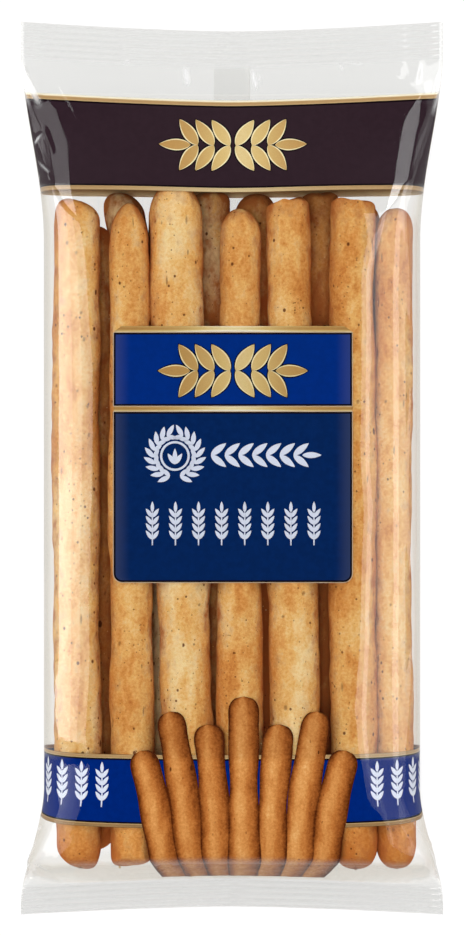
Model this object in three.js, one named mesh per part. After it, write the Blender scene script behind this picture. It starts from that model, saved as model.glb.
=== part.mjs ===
// A sealed clear-film bag of thick grissini breadsticks, lying flat on its back.
// Millimetres, +Z up. +X is the bag's right side seen from above, +Y its top seal.
// The origin is the centre of the face the bag rests on.
//
// The bag is one closed solid, lofted through rings that run round it. Each ring is worked
// out from the bag's half width and from how far its two faces stand off the seal plane.
import * as THREE from "three";

// ---- driving dimensions ----
const packLength = 310; // over the corners of both end seals
const sealWidth = 146.6; // the flat width of the film at the end seals
const bodyWidth = 130.6; // the filled part of the bag
const bodyDepth = 32; // two layers of sticks and the film round them
const sealPlane = 15.5; // height of both end seals and of the side folds

const topSealHeight = 12.5;
const bottomSealHeight = 9.7;
const topSealBow = 3.4; // how far the middle of the seal is drawn in from its corners
const bottomSealBow = 2.8;
const bowPower = 1.5; // the bow grows with this power of the distance from the middle
const topBowStart = 50; // the bow fades out from the seals down to these two places
const bottomBowStart = -100;
const sealThickness = 0.6;
const crimpRidges = 6; // across each seal
const crimpDepth = 0.35;

const topShoulder = 78; // the sticks fill the bag to its body width between these places
const bottomShoulder = -110;
const topDrawStart = 4; // the film begins to draw in this far inside each seal
const bottomDrawStart = 6.8;

const sideRound = 16.5; // width of the rounded flank along each side
const flankPower = 2.5; // 2 is an elliptic flank, and more is squarer, as the stacked sticks make it
const lensPower = 2.4; // curve of the thin ends of the bag, from crease to crease
const topSlope = 0.31; // rise of the film from the top seal to the sticks
const bottomSlope = 1.85; // and from the bottom seal, which the sticks have slid down to
const slopeBlend = 2.5; // rounding where those slopes meet the level faces

// Gaps between neighbouring sticks, where the film dips: seven sticks in front, eight behind
const frontGaps = [-43, -24.8, -6.3, 11.5, 31.4, 49.4];
const backStickPitch = 15.9;
const backGapsPerSide = 3;
const frontDip = 2;
const backDip = 1.6;
const dipWidth = 3.2;
const pressedDip = 0.3; // how much of each dip under the bag is pressed flat onto the table

// The lengthwise fin seal folded flat under the middle of the back
const finWidth = 12.6;
const finRecess = 0.9; // the film above the fin
const finClearance = 0.25; // the fin's lower face above the table
const finEdge = 0.3;

// ---- how closely the rings follow those shapes ----
const flankSteps = [0, 0.012, 0.05, 0.14, 0.3, 0.52, 0.74]; // shares of a flank, from its fold
const flankEnd = 0.8; // past this share of the flank the points follow the sticks
const frontOffsets = [-5, -2.4, 0, 2.4, 5]; // places of points on either side of a dip
const backOffsets = [-4.4, 0, 4.4];
const leastSpacing = 1;
const bottomSlopeLength = 14;
const topSlopeStart = 60;
const slopeRings = 9;
const bodyRings = 9;
const topRings = 13;

// ---- derived places along the bag, on its centre line ----
const topEdge = packLength / 2 - topSealBow;
const bottomEdge = -(packLength / 2 - bottomSealBow);
const topSealLine = topEdge - topSealHeight;
const bottomSealLine = bottomEdge + bottomSealHeight;

const halfBody = bodyWidth / 2;
const halfFin = finWidth / 2;
const skin = sealThickness / 2;
const frontRise = bodyDepth - sealPlane - skin;
const backDrop = sealPlane; // a little past the table, so that the bag is pressed flat there

const clamp01 = (value) => Math.min(1, Math.max(0, value));
const smoothStep = (from, to, value) => {
  const t = clamp01((value - from) / (to - from));
  return t * t * (3 - 2 * t);
};
const mix = (a, b, t) => a + (b - a) * t;
const smoothMin = (a, b, radius) => (a + b - Math.hypot(a - b, radius)) / 2;

// Half width of the bag: the flat film at the seals, drawn in where the sticks fill it
function halfWidth(y) {
  const topDraw = smoothStep(topSealLine + topDrawStart, topShoulder, y);
  const bottomDraw = smoothStep(bottomSealLine - bottomDrawStart, bottomShoulder, y);
  return mix(sealWidth, bodyWidth, Math.min(topDraw, bottomDraw)) / 2;
}

// How far a face stands off the seal plane on the centre line, up to its full height
function standOff(y, full) {
  const share = full / frontRise;
  const fromTop = topSlope * share * (topSealLine - y);
  const fromBottom = bottomSlope * share * (y - bottomSealLine);
  const slopes = smoothMin(fromTop, fromBottom, slopeBlend);
  return Math.max(0, smoothMin(full, slopes, slopeBlend));
}

// Shape of a ring across the bag, from 0 at its side folds to 1 in the middle: round
// flanks where it is full, drawn out to a lens between two creases where it is thin
function acrossShape(x, half, fullness) {
  const flank = clamp01((Math.abs(x) - (half - sideRound)) / sideRound);
  const round = Math.pow(1 - Math.pow(flank, flankPower), 1 / flankPower);
  const lens = 1 - Math.pow(Math.abs(x) / half, lensPower);
  return mix(lens, round, fullness);
}

// Dips of the film between neighbouring sticks
function dips(x, gaps, depth) {
  return gaps.reduce((sum, gap) => sum + depth * Math.exp(-(((x - gap) / dipWidth) ** 2)), 0);
}

// Wave of the crimped seals, with a ridge or a furrow at each half pitch: zero between them
function crimp(y) {
  const intoTop = (y - topSealLine) / topSealHeight;
  const intoBottom = (bottomSealLine - y) / bottomSealHeight;
  const share = Math.max(intoTop, intoBottom);
  if (share <= 0) return 0;
  return -crimpDepth * Math.cos(2 * Math.PI * crimpRidges * share);
}

// The ends of the film bow: its corners reach further out than its middle
function bowed(x, y, half) {
  const share = Math.pow(Math.abs(x) / half, bowPower);
  const top = topSealBow * smoothStep(topBowStart, topSealLine, y);
  const bottom = bottomSealBow * smoothStep(bottomBowStart, bottomSealLine, y);
  return y + (top - bottom) * share;
}

// ---- places across the bag at which a ring has points ----

// Points on both flanks, and on either side of each gap between them
function bodyStations(gaps, offsets) {
  const flank = flankSteps.map((share) => halfBody - share * sideRound);
  const inner = gaps.flatMap((gap) => offsets.map((offset) => gap + offset));
  const flankStart = halfBody - sideRound * flankEnd;
  const inside = inner.filter((x) => Math.abs(x) < flankStart);
  const edges = flank.flatMap((x) => [x, -x]);
  const sorted = [...new Set([...edges, ...inside])].sort((a, b) => a - b);
  return sorted.filter((x, i) => {
    const onFlank = Math.abs(x) >= flankStart;
    return onFlank || i === 0 || x - sorted[i - 1] >= leastSpacing;
  });
}

const sideBackGaps = [];
for (let k = 1; k <= backGapsPerSide; k++) {
  sideBackGaps.push(-k * backStickPitch, k * backStickPitch);
}
const finStations = [-1, 1].flatMap((side) => [
  side * (halfFin + 5 * finEdge),
  side * (halfFin + finEdge),
  side * halfFin,
]);

const frontStations = bodyStations(frontGaps, frontOffsets);
const backStations = [
  ...bodyStations(sideBackGaps, backOffsets).filter((x) => Math.abs(x) > halfFin + 6 * finEdge),
  ...finStations,
].sort((a, b) => a - b);

// Height of the back film over the table: none where a stick presses it flat, more between
// sticks and beside the fin, whose own lower face lies just off the table
function backRelief(x) {
  const beside = Math.abs(x) - halfFin;
  if (beside < finEdge / 2) return finClearance;
  if (beside < finEdge * 2) return finRecess;
  return Math.max(0, dips(x, sideBackGaps, backDip) - pressedDip);
}

// One closed ring of points round the bag at a place on its centre line. The fronts of the
// folds are points of the front, so the back leaves them out.
function ringAt(y) {
  const half = halfWidth(y);
  const spread = half / halfBody;
  const rise = standOff(y, frontRise);
  const drop = standOff(y, backDrop);
  const fullness = clamp01(rise / frontRise);
  const middle = sealPlane + crimp(y);
  const onFold = (station) => Math.abs(station) === halfBody;

  const front = frontStations.map((station) => {
    const x = station * spread;
    const bulge = rise * acrossShape(x, half, fullness);
    const relief = dips(station, frontGaps, frontDip) * fullness ** 2;
    const z = onFold(station) ? middle : middle + skin + Math.max(0, bulge - relief);
    return new THREE.Vector3(x, bowed(x, y, half), z);
  });

  const back = backStations
    .filter((station) => !onFold(station))
    .map((station) => {
      const x = station * spread;
      const bulge = drop * acrossShape(x, half, fullness);
      const relief = backRelief(station) * fullness ** 4;
      const z = Math.max(0, middle - skin - bulge) + relief;
      return new THREE.Vector3(x, bowed(x, y, half), z);
    });

  // Left to right over the front, then right to left under the back
  return [...front, ...back.reverse()];
}

// ---- places along the bag at which a ring is drawn ----
function spaced(from, to, steps) {
  return Array.from({ length: steps }, (_, i) => mix(from, to, i / steps));
}

function ringPlaces() {
  const crimpRows = 2 * crimpRidges;
  const slopeEnd = bottomSealLine + bottomSlopeLength;
  return [
    ...spaced(bottomEdge, bottomSealLine, crimpRows),
    ...spaced(bottomSealLine, slopeEnd, slopeRings),
    ...spaced(slopeEnd, topSlopeStart, bodyRings),
    ...spaced(topSlopeStart, topSealLine, topRings),
    ...spaced(topSealLine, topEdge, crimpRows),
    topEdge,
  ];
}

// A closed solid through rings of equal length, with a fan over each end
function loftedSolid(rings) {
  const count = rings[0].length;
  const points = rings.flat();
  const centres = [rings[0], rings[rings.length - 1]].map((ring) =>
    ring.reduce((sum, p) => sum.add(p), new THREE.Vector3()).divideScalar(count),
  );
  const faces = [];
  for (let j = 0; j < rings.length - 1; j++) {
    for (let i = 0; i < count; i++) {
      const here = j * count + i;
      const next = j * count + ((i + 1) % count);
      faces.push(here, next, here + count, next, next + count, here + count);
    }
  }
  const lastRing = (rings.length - 1) * count;
  for (let i = 0; i < count; i++) {
    const next = (i + 1) % count;
    faces.push(points.length, next, i);
    faces.push(points.length + 1, lastRing + i, lastRing + next);
  }
  const geometry = new THREE.BufferGeometry().setFromPoints([...points, ...centres]);
  geometry.setIndex(faces);
  geometry.computeVertexNormals();
  return geometry;
}

// The film seen with the bread behind it
function filmMaterial() {
  return new THREE.MeshStandardMaterial({ color: 0xd9a866, roughness: 0.25, metalness: 0 });
}

function bag() {
  const rings = ringPlaces().map(ringAt);
  const mesh = new THREE.Mesh(loftedSolid(rings), filmMaterial());
  mesh.name = "bag";
  return mesh;
}

const part = new THREE.Group();
part.add(bag());

export default part;
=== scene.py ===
import bpy
import numpy as np
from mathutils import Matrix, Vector


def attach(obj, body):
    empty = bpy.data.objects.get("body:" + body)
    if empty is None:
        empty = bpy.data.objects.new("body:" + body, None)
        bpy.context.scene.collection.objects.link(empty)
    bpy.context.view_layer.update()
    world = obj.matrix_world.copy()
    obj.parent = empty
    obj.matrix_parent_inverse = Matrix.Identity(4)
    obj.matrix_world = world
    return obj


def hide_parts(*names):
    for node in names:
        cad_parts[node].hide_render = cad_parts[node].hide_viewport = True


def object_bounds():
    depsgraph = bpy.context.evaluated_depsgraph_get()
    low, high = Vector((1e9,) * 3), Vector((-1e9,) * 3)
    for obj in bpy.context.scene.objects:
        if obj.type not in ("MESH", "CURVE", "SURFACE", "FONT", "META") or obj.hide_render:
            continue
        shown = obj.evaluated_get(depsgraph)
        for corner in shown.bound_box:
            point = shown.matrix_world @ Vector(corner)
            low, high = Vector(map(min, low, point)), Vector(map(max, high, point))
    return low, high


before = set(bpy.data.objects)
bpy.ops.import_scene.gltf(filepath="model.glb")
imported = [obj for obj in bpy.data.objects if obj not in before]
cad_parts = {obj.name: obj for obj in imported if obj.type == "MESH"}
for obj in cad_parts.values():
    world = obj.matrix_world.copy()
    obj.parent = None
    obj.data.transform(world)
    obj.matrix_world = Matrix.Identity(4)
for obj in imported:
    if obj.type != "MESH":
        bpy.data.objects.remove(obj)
cadLow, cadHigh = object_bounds()

mm = 0.001  # every size and place below is in millimetres, and becomes metres in newPiece


# sums that the shapes share

def mix(start, end, share):
    # start at a share of 0 and end at 1, in a straight line
    return start + (end - start) * share


def smoothStep(start, end, value):
    # 0 before start, 1 after end, and 3t^2 - 2t^3 between them
    t = np.clip((value - start) / (end - start), 0, 1)
    return t * t * (3 - 2 * t)


def smoothMin(a, b, radius):
    # the smaller of two values, rounded where they cross
    return (a + b - np.hypot(a - b, radius)) / 2


def latticeNoise(points, seed):
    # random values on a unit lattice, blended smoothly between the 8 corners of each cell: -1 to 1
    size = 32  # the values repeat after this many cells
    table = np.random.RandomState(seed).uniform(-1, 1, (size, size, size))
    cell = np.floor(points).astype(int)
    part = points - cell
    part = part * part * (3 - 2 * part)
    total = 0
    for corner in range(8):
        step = np.array([corner & 1, corner >> 1 & 1, corner >> 2 & 1])
        weight = np.where(step, part, 1 - part).prod(axis=-1)
        x, y, z = np.moveaxis((cell + step) % size, -1, 0)
        total = total + weight * table[x, y, z]
    return total


def throughThree(values, t):
    # the parabola through three values at t = 1, 0.5 and 0
    top, middle, foot = values
    return foot * (1 - t) * (1 - 2 * t) + middle * 4 * t * (1 - t) + top * t * (2 * t - 1)


def turnFrom(turn, middle):
    # how far one angle is from another, the short way round: -pi to pi
    return np.angle(np.exp(1j * (turn - middle)))


def bell(distance, width):
    # e^-(distance / width)^2: 1 in the middle, and 0.37 one width off it
    return np.exp(-((distance / width) ** 2))


def belled(amount, distance):
    # an amount given with its width, as a bell
    return amount[0] * bell(distance, amount[1])


def faded(amount, distance):
    # an amount given with its length, as e^-(distance / length)
    return amount[0] * np.exp(-distance / amount[1])


# making meshes from arrays

def gridFaces(rows, columns, loop=False):
    # quads between neighbouring rows and columns; loop joins the last column to the first
    row = np.arange(rows - 1)[:, None] * columns
    column = np.arange(columns if loop else columns - 1)[None, :]
    here, beside = row + column, row + (column + 1) % columns
    return np.stack([here, beside, beside + columns, here + columns], axis=-1).reshape(-1, 4)


def closedTube(rows, columns):
    # the faces of a looped grid, turned outwards. Its first row closes in the point that follows
    # the grid's own, and its last row in the one after that.
    here = np.arange(columns)
    beside = (here + 1) % columns
    last, pole = (rows - 1) * columns, np.full(columns, rows * columns)
    firstFan = np.stack([pole, here, beside], axis=-1)
    lastFan = np.stack([pole + 1, last + beside, last + here], axis=-1)
    return [gridFaces(rows, columns, loop=True)[:, ::-1], firstFan, lastFan]


def thinSheet(outer, inner, loop=False):
    # a closed sheet from two grids of points: an outer face, an inner one turned the other way, and
    # walls between their borders, which are two circles when loop joins the last column to the first
    rows, columns = outer.shape[:2]
    count = rows * columns
    index = np.arange(count).reshape(rows, columns)
    if loop:
        lowEdge = np.append(index[0], 0)
        edges = [lowEdge, index[-1, 0] + lowEdge[::-1]]
    else:
        edges = [np.concatenate([index[0], index[1:, -1], index[-1, -2::-1], index[-2::-1, 0]])]
    walls = [np.stack([edge[:-1] + count, edge[1:] + count, edge[1:], edge[:-1]], axis=-1) for edge in edges]
    face = gridFaces(rows, columns, loop)
    points = np.concatenate([outer.reshape(-1, 3), inner.reshape(-1, 3)])
    return points, np.concatenate([face, face[:, ::-1] + count, *walls])


def onBothFaces(value, shape):
    # a value for each point of a thin sheet, from one for its grid, its rows or its columns
    return np.tile(np.broadcast_to(value, shape).ravel(), 2)


def newPiece(name, points, faces, material, values):
    # points in millimetres, faces as arrays of corners, and values as numbers for each point that
    # the material reads by name
    mesh = bpy.data.meshes.new(name)
    corners = [face for block in faces for face in block.tolist()]
    mesh.from_pydata((np.asarray(points).reshape(-1, 3) * mm).tolist(), [], corners)
    for key, numbers in values.items():
        layer = mesh.attributes.new(key, "FLOAT", "POINT")
        layer.data.foreach_set("value", np.asarray(numbers, dtype=np.float32).ravel())
    mesh.materials.append(material)
    mesh.shade_smooth()
    mesh.update()
    piece = bpy.data.objects.new(name, mesh)
    bpy.context.scene.collection.objects.link(piece)
    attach(piece, "root")
    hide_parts("bag")


# materials

def rgb(red, green, blue):
    # a colour as a screen shows it, 0 to 255, made linear
    share = np.array([red, green, blue]) / 255
    linear = np.where(share <= 0.04045, share / 12.92, ((share + 0.055) / 1.055) ** 2.4)
    return tuple(float(part) for part in linear)


class Shader:
    # a short way to add nodes: each call gives the new node's output, to feed the next one
    def __init__(self, name):
        self.material = bpy.data.materials.new(name)
        self.material.use_nodes = True
        self.tree = self.material.node_tree
        self.tree.nodes.clear()
        self.output = self.tree.nodes.new("ShaderNodeOutputMaterial")

    def node(self, kind, inputs=None, **settings):
        # a node of any kind: each input takes a number, a colour or another node's output
        made = self.tree.nodes.new(kind)
        for key, value in settings.items():
            setattr(made, key, value)
        for key, value in (inputs or {}).items():
            socket = made.inputs[key]
            if isinstance(value, bpy.types.NodeSocket):
                self.tree.links.new(value, socket)
            else:
                socket.default_value = (*value, 1) if socket.type == "RGBA" else value
        return made

    def place(self, stretch=(1, 1, 1)):
        # the piece's own coordinates in millimetres, times stretch
        coords = self.node("ShaderNodeTexCoord").outputs["Object"]
        scale = [share / mm for share in stretch]
        return self.node("ShaderNodeMapping", {"Vector": coords, "Scale": scale}).outputs["Vector"]

    def noise(self, place, size, detail=2.0, roughness=0.5, warp=0.0):
        # clouds of about this size in millimetres, 0 to 1
        inputs = {"Vector": place, "Scale": 1 / size, "Detail": detail}
        inputs.update({"Roughness": roughness, "Distortion": warp})
        return self.node("ShaderNodeTexNoise", inputs).outputs["Fac"]

    def value(self, name):
        # one of the piece's own numbers for each point
        return self.node("ShaderNodeAttribute", attribute_name=name).outputs["Fac"]

    def maths(self, operation, first, second=0.0, third=0.0):
        # one sum of up to three values, each a number or another node's output
        return self.node("ShaderNodeMath", {0: first, 1: second, 2: third}, operation=operation).outputs[0]

    def varied(self, value, pattern, weight):
        # the value plus weight times how far the pattern is above 0.5
        return self.maths("MULTIPLY_ADD", self.maths("SUBTRACT", pattern, 0.5), weight, value)

    def between(self, fac, start, end, low=0.0, high=1.0):
        # low at start and high at end, smoothly, and level beyond them
        inputs = {"Value": fac, "From Min": start, "From Max": end, "To Min": low, "To Max": high}
        return self.node("ShaderNodeMapRange", inputs, interpolation_type="SMOOTHSTEP").outputs["Result"]

    def ramp(self, fac, stops):
        # a run of colours, each at its own place from 0 to 1
        made = self.node("ShaderNodeValToRGB", {"Fac": fac})
        elements = made.color_ramp.elements
        while len(elements) < len(stops):
            elements.new(0.5)
        for element, (place, colour) in zip(elements, stops):
            element.position = place
            element.color = (*colour, 1)
        return made.outputs["Color"]

    def blend(self, fac, first, second):
        # the first colour at a fac of 0 and the second at 1
        return self.node("ShaderNodeMix", {0: fac, 6: first, 7: second}, data_type="RGBA").outputs[2]

    def layered(self, fac, below, above):
        # the surface below at a fac of 0 and the one above at 1
        inputs = {0: fac, 1: below.outputs[0], 2: above.outputs[0]}
        return self.node("ShaderNodeMixShader", inputs)

    def bump(self, height, depth, below=None):
        # depth in millimetres is how far a height of 1 stands out
        inputs = {"Height": height, "Distance": depth * mm, "Strength": 1.0}
        if below is not None:
            inputs["Normal"] = below
        return self.node("ShaderNodeBump", inputs).outputs["Normal"]

    def matte(self, colour, roughness, gloss, normal):
        inputs = {"Base Color": colour, "Roughness": roughness, "Normal": normal}
        inputs["Specular IOR Level"] = gloss
        return self.node("ShaderNodeBsdfPrincipled", inputs)

    def finish(self, surface):
        self.tree.links.new(surface.outputs[0], self.output.inputs["Surface"])
        return self.material


# the bag: how its film lies round the sticks

bag = dict(
    sealHalf=cadHigh[0] / mm,  # half the flat width of the film
    bodyHalf=65.3,  # half the filled width
    top=cadHigh[2] / mm,
    sealPlane=15.5,
    topEdge=cadHigh[1] / mm - 3.4,  # on the centre line: the corners reach 3.4 and 2.8 further
    bottomEdge=cadLow[1] / mm + 2.8,
    topSeal=12.5,
    bottomSeal=9.7,
    topBow=3.4,
    bottomBow=2.8,
    topBowStart=50,
    bottomBowStart=-100,
    topShoulder=78,  # the sticks fill the bag to its body width between these two
    bottomShoulder=-110,
    topDrawStart=4,  # the film begins to draw in this far inside each seal
    bottomDrawStart=6.8,
    # width of the rounded flank beside the front, at places along the bag
    leftFlank=(
        (-142, 16), (-122, 14), (-103, 20.5), (-92, 17.5), (-70, 20),
        (-45, 19.5), (15, 22), (35, 21.5), (75, 17), (95, 12),
    ),
    rightFlank=(
        (-142, 16), (-121, 16), (-99, 23.5), (-82, 26), (-62, 24),
        (-14, 21.5), (0, 23), (66, 22.5), (78, 19), (97, 12),
    ),
    frontPower=2.2,  # 2 would be an elliptic flank, and more is squarer
    sideRound=16.5,  # and the flank beside the back
    backPower=2.5,
    lensPower=2.4,  # curve of the thin ends of the bag, from crease to crease
    topSlope=0.31,  # rise of the film from each seal to the sticks
    bottomSlope=1.85,
    slopeBlend=2.5,
    seal=0.08,  # half the thickness of both films pressed together
    ridgePitch=2.08,
    ridgeDepth=0.06,
    ridgeEnd=(0.94, 0.99),  # shares of the half width between which the ridges fade out
    frontGaps=(-43, -24.8, -6.3, 11.5, 31.4, 49.4),  # between the sticks of the front layer
    frontDip=0.12,
    backGaps=15.9 * np.array([-3, -2, -1, 1, 2, 3]),
    backDip=1.3,
    dipWidth=3.2,
    pressedDip=0.3,  # how much of each dip under the bag is pressed flat onto the table
    pressedBack=0.1,  # how far past the table the back would reach
    finHalf=6.3,
    finRecess=0.9,
    finBlend=1.5,
    finToDips=4,
)
topSealLine = bag["topEdge"] - bag["topSeal"]
bottomSealLine = bag["bottomEdge"] + bag["bottomSeal"]
rise = bag["top"] - bag["sealPlane"] - bag["seal"]
drop = bag["sealPlane"] - bag["seal"]

# a flank's curve by its angle, and how long it is up to there
flankAngle = np.linspace(0, np.pi / 2, 2001)
flankCurve = np.stack([
    bag["sideRound"] * np.sin(flankAngle) ** (2 / bag["backPower"]),
    rise * np.cos(flankAngle) ** (2 / bag["backPower"]),
])
flankLength = np.append(0, np.cumsum(np.hypot(*np.diff(flankCurve, axis=1))))
flatHalf = bag["bodyHalf"] - bag["sideRound"]
girth = flatHalf + flankLength[-1]  # along the film from its centre line to a side fold


def halfWidth(y):
    # from the seals' half width to the filled one, in a smooth step from each end
    topDraw = smoothStep(topSealLine + bag["topDrawStart"], bag["topShoulder"], y)
    bottomDraw = smoothStep(bottomSealLine - bag["bottomDrawStart"], bag["bottomShoulder"], y)
    return mix(bag["sealHalf"], bag["bodyHalf"], np.minimum(topDraw, bottomDraw))


def standOff(y):
    # how far the front stands off the seal plane on the centre line: the least of a slope up from
    # each seal and the full rise, rounded where they meet
    fromTop = bag["topSlope"] * (topSealLine - y)
    fromBottom = bag["bottomSlope"] * (y - bottomSealLine)
    slopes = smoothMin(fromTop, fromBottom, bag["slopeBlend"])
    return np.maximum(0, smoothMin(rise, slopes, bag["slopeBlend"]))


def dips(x, gaps, depth):
    # a bell-shaped furrow at each gap between two sticks
    return sum(depth * bell(x - gap, bag["dipWidth"]) for gap in gaps)


def sealRidges(y):
    # a cosine wave across each end seal: 1 on a ridge, -1 in a furrow and 0 outside the seals
    into = np.maximum(y - topSealLine, bottomSealLine - y)
    return np.where(into > 0, -np.cos(2 * np.pi * into / bag["ridgePitch"]), 0)


def flankWidth(x, y, front):
    # straight between the given widths on the front, and the same everywhere on the back
    left = np.interp(y, *zip(*bag["leftFlank"]))
    right = np.interp(y, *zip(*bag["rightFlank"]))
    return np.where(front, np.where(x < 0, left, right), bag["sideRound"])


def filmHeight(x, y, front):
    # height of one face over the table. Its section is flat with rounded flanks where the bag is
    # full, and a lens between two creases where it is thin: 1 less a power of the share of the way
    # out. The back goes no lower than the table, but for what dips and fin lift it.
    half = halfWidth(y)
    fullness = standOff(y) / rise
    share = np.clip(np.abs(x) / half, 0, 1)
    side = flankWidth(x, y, front)
    power = np.where(front, bag["frontPower"], bag["backPower"])
    flank = np.clip((np.abs(x) - half + side) / side, 0, 1)
    across = mix(1 - share ** bag["lensPower"], (1 - flank**power) ** (1 / power), fullness)
    beside = np.abs(x) - bag["finHalf"]
    raised = np.maximum(0, dips(x, bag["backGaps"], bag["backDip"]) - bag["pressedDip"])
    overFin = bag["finRecess"] * (1 - smoothStep(0, bag["finBlend"], beside))
    lift = np.maximum(raised * smoothStep(0, bag["finToDips"], beside), overFin)
    middle = bag["sealPlane"] + bag["ridgeDepth"] * sealRidges(y) * (1 - smoothStep(*bag["ridgeEnd"], share))
    sunk = dips(x, bag["frontGaps"], bag["frontDip"]) * fullness**2
    upper = middle + bag["seal"] + across * (standOff(y) - sunk)
    back = middle - bag["seal"] - (drop + bag["pressedBack"]) * fullness * across
    lower = np.maximum(0, back) + lift * fullness**4
    return np.where(share > 0.99999, middle, np.where(front, upper, lower))


def filmPoint(q, y):
    # q runs round the bag: 0 on the front's centre line, 1 and -1 on the side folds, 2 and -2 on
    # the back's centre line. y is the place along that line, and the ends bow out from it by the
    # power 1.5 of the distance. x follows the flank's curve where the bag is full.
    q, y = np.broadcast_arrays(q, y)
    front = np.abs(q) <= 1
    g = np.where(front, q, np.sign(q) * (2 - np.abs(q)))
    half = halfWidth(y)
    arc = np.abs(g) * girth
    angle = np.interp(arc - flatHalf, flankLength, flankAngle)
    roundX = np.minimum(arc, flatHalf) + bag["sideRound"] * np.sin(angle) ** (2 / bag["backPower"])
    x = np.sign(g) * mix(np.abs(g) * half, roundX * half / bag["bodyHalf"], standOff(y) / rise)
    z = filmHeight(x, y, front)
    share = np.abs(x / half) ** 1.5
    top = bag["topBow"] * smoothStep(bag["topBowStart"], topSealLine, y)
    bottom = bag["bottomBow"] * smoothStep(bag["bottomBowStart"], bottomSealLine, y)
    return np.stack([x, y + (top - bottom) * share, z], axis=-1)


def puckers():
    # short creases that run from both seals into the bag, drawn at random round an even spacing
    random = np.random.RandomState(7)
    lines = []
    for a in np.arange(-66, 67, 5.5) + random.uniform(-1.6, 1.6, 25):
        length = random.uniform(5, 12)
        lean = random.uniform(-0.12, 0.12) - a * 0.003
        shape = (random.uniform(0.8, 1.4), random.uniform(0.08, 0.22))
        lines.append((a, topSealLine + 1, a + lean * length, topSealLine - length, *shape))
    for a in np.arange(-68, 69, 6.8) + random.uniform(-2, 2, 21):
        length = random.uniform(4, 8)
        shape = (random.uniform(0.8, 1.3), random.uniform(0.1, 0.24))
        lines.append((a, bottomSealLine - 0.6, a - a * 0.004 * length, bottomSealLine + length, *shape))
    return lines


# Each crease is a ridge between two places on the flat film, given as distance from the centre line
# and place along the bag, with its width and height.
creases = puckers() + [
    (-78, topSealLine, -67, 124, 1.6, 0.5),
    (-74, 124, -61, 104, 1.7, 0.4),
    (-76, 110, -65, 114, 1.1, 0.3),
    (-67, 117, -61, 96, 1.4, 0.3),
    (-72, 103, -64, 98, 1.0, 0.25),
    (-66, topSealLine, -50, 116, 1.6, 0.15),
    (79, topSealLine, 68, 112, 2.0, 0.25),
    (60, topSealLine, 46, 118, 1.5, 0.15),
    (-79, bottomSealLine, -66, -124, 1.6, 0.5),
    (-72, bottomSealLine, -58, -120, 1.4, 0.4),
    (-64, bottomSealLine, -50, -124, 1.1, 0.3),
    (-78, -132, -66, -137, 1.0, 0.3),
    (-76, -120, -66, -118, 1.0, 0.25),
    (78, bottomSealLine, 62, -112, 1.6, 0.4),
    (70, bottomSealLine, 54, -118, 1.4, 0.35),
    (60, bottomSealLine, 46, -128, 1.0, 0.25),
    (76, -126, 64, -130, 1.0, 0.25),
    (-68.5, -30, -60, -98, 1.8, 0.3),
    (-70, -76, -57, -92, 1.3, 0.25),
    (60, 92, 64, 40, 1.1, 0.35),
    (64.5, 52, 61.5, -14, 1.0, 0.3),
    (61, 0, 65, -60, 1.1, 0.35),
    (65.5, -44, 60, -100, 1.1, 0.35),
    (52, -102, 66, -128, 1.4, 0.3),
    (-54, -110, -66, -130, 1.2, 0.25),
]
# painted highlights on the film's puckers and folds: lines like the creases, with how milky white
# each is for its height
glints = [
    (-16.9, topSealLine, -15.5, topSealLine - 7.4, 0.9, 1.0),
    (6.9, topSealLine - 0.2, 8.7, topSealLine - 8.8, 0.7, 0.9),
    (9.4, topSealLine - 2, 10.4, topSealLine - 7, 0.35, 0.4),
    (38.5, topSealLine + 0.6, 39.6, topSealLine - 3, 0.5, 0.5),
    (42, topSealLine + 0.5, 48, topSealLine - 1, 0.35, 0.4),
    (-40, topSealLine - 0.5, -36, topSealLine + 1.4, 0.3, 0.4),
    (-80, topSealLine + 1, -68, 122, 1.3, 0.85),
    (-80, topSealLine - 3, -74, 122, 1.2, 0.6),
    (80, topSealLine, 73, 119, 1.1, 0.65),
    (-74, 109.5, -68, 113, 0.4, 0.6),
    (-73, 104, -64, 100, 0.35, 0.45),
    (-77, 96, -72, 99.5, 0.4, 0.5),
    (-79.5, bottomSealLine, -68, -126, 0.9, 0.7),
    (-78, -131, -69, -136, 0.5, 0.55),
    (-74, -124, -66, -122, 0.4, 0.5),
    (-66, -133, -60, -137.5, 0.35, 0.4),
    (79.5, bottomSealLine, 67, -128, 0.8, 0.6),
    (74, -121, 68, -125, 0.4, 0.45),
    (60, -118, 66, -126, 0.35, 0.35),
    (46, -135, 52, -137.5, 0.3, 0.35),
]


def lined(lines, a, y):
    # heights along lines, added up. Each is a bell across its line that fades out at both ends.
    total = np.zeros(np.broadcast(a, y).shape)
    for startA, startY, endA, endY, width, height in lines:
        runA, runY = endA - startA, endY - startY
        along = ((a - startA) * runA + (y - startY) * runY) / (runA**2 + runY**2)
        aside = ((a - startA) * runY - (y - startY) * runA) / np.hypot(runA, runY)
        fade = np.clip(4 * along * (1 - along), 0, 1)
        total = total + height * fade * bell(aside, width)
    return total


def inSeals(y, edge):
    # 1 in both end seals and 0 between them, over a soft edge
    inTop = smoothStep(topSealLine - edge, topSealLine + edge, y)
    return np.maximum(inTop, smoothStep(bottomSealLine + edge, bottomSealLine - edge, y))


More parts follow.
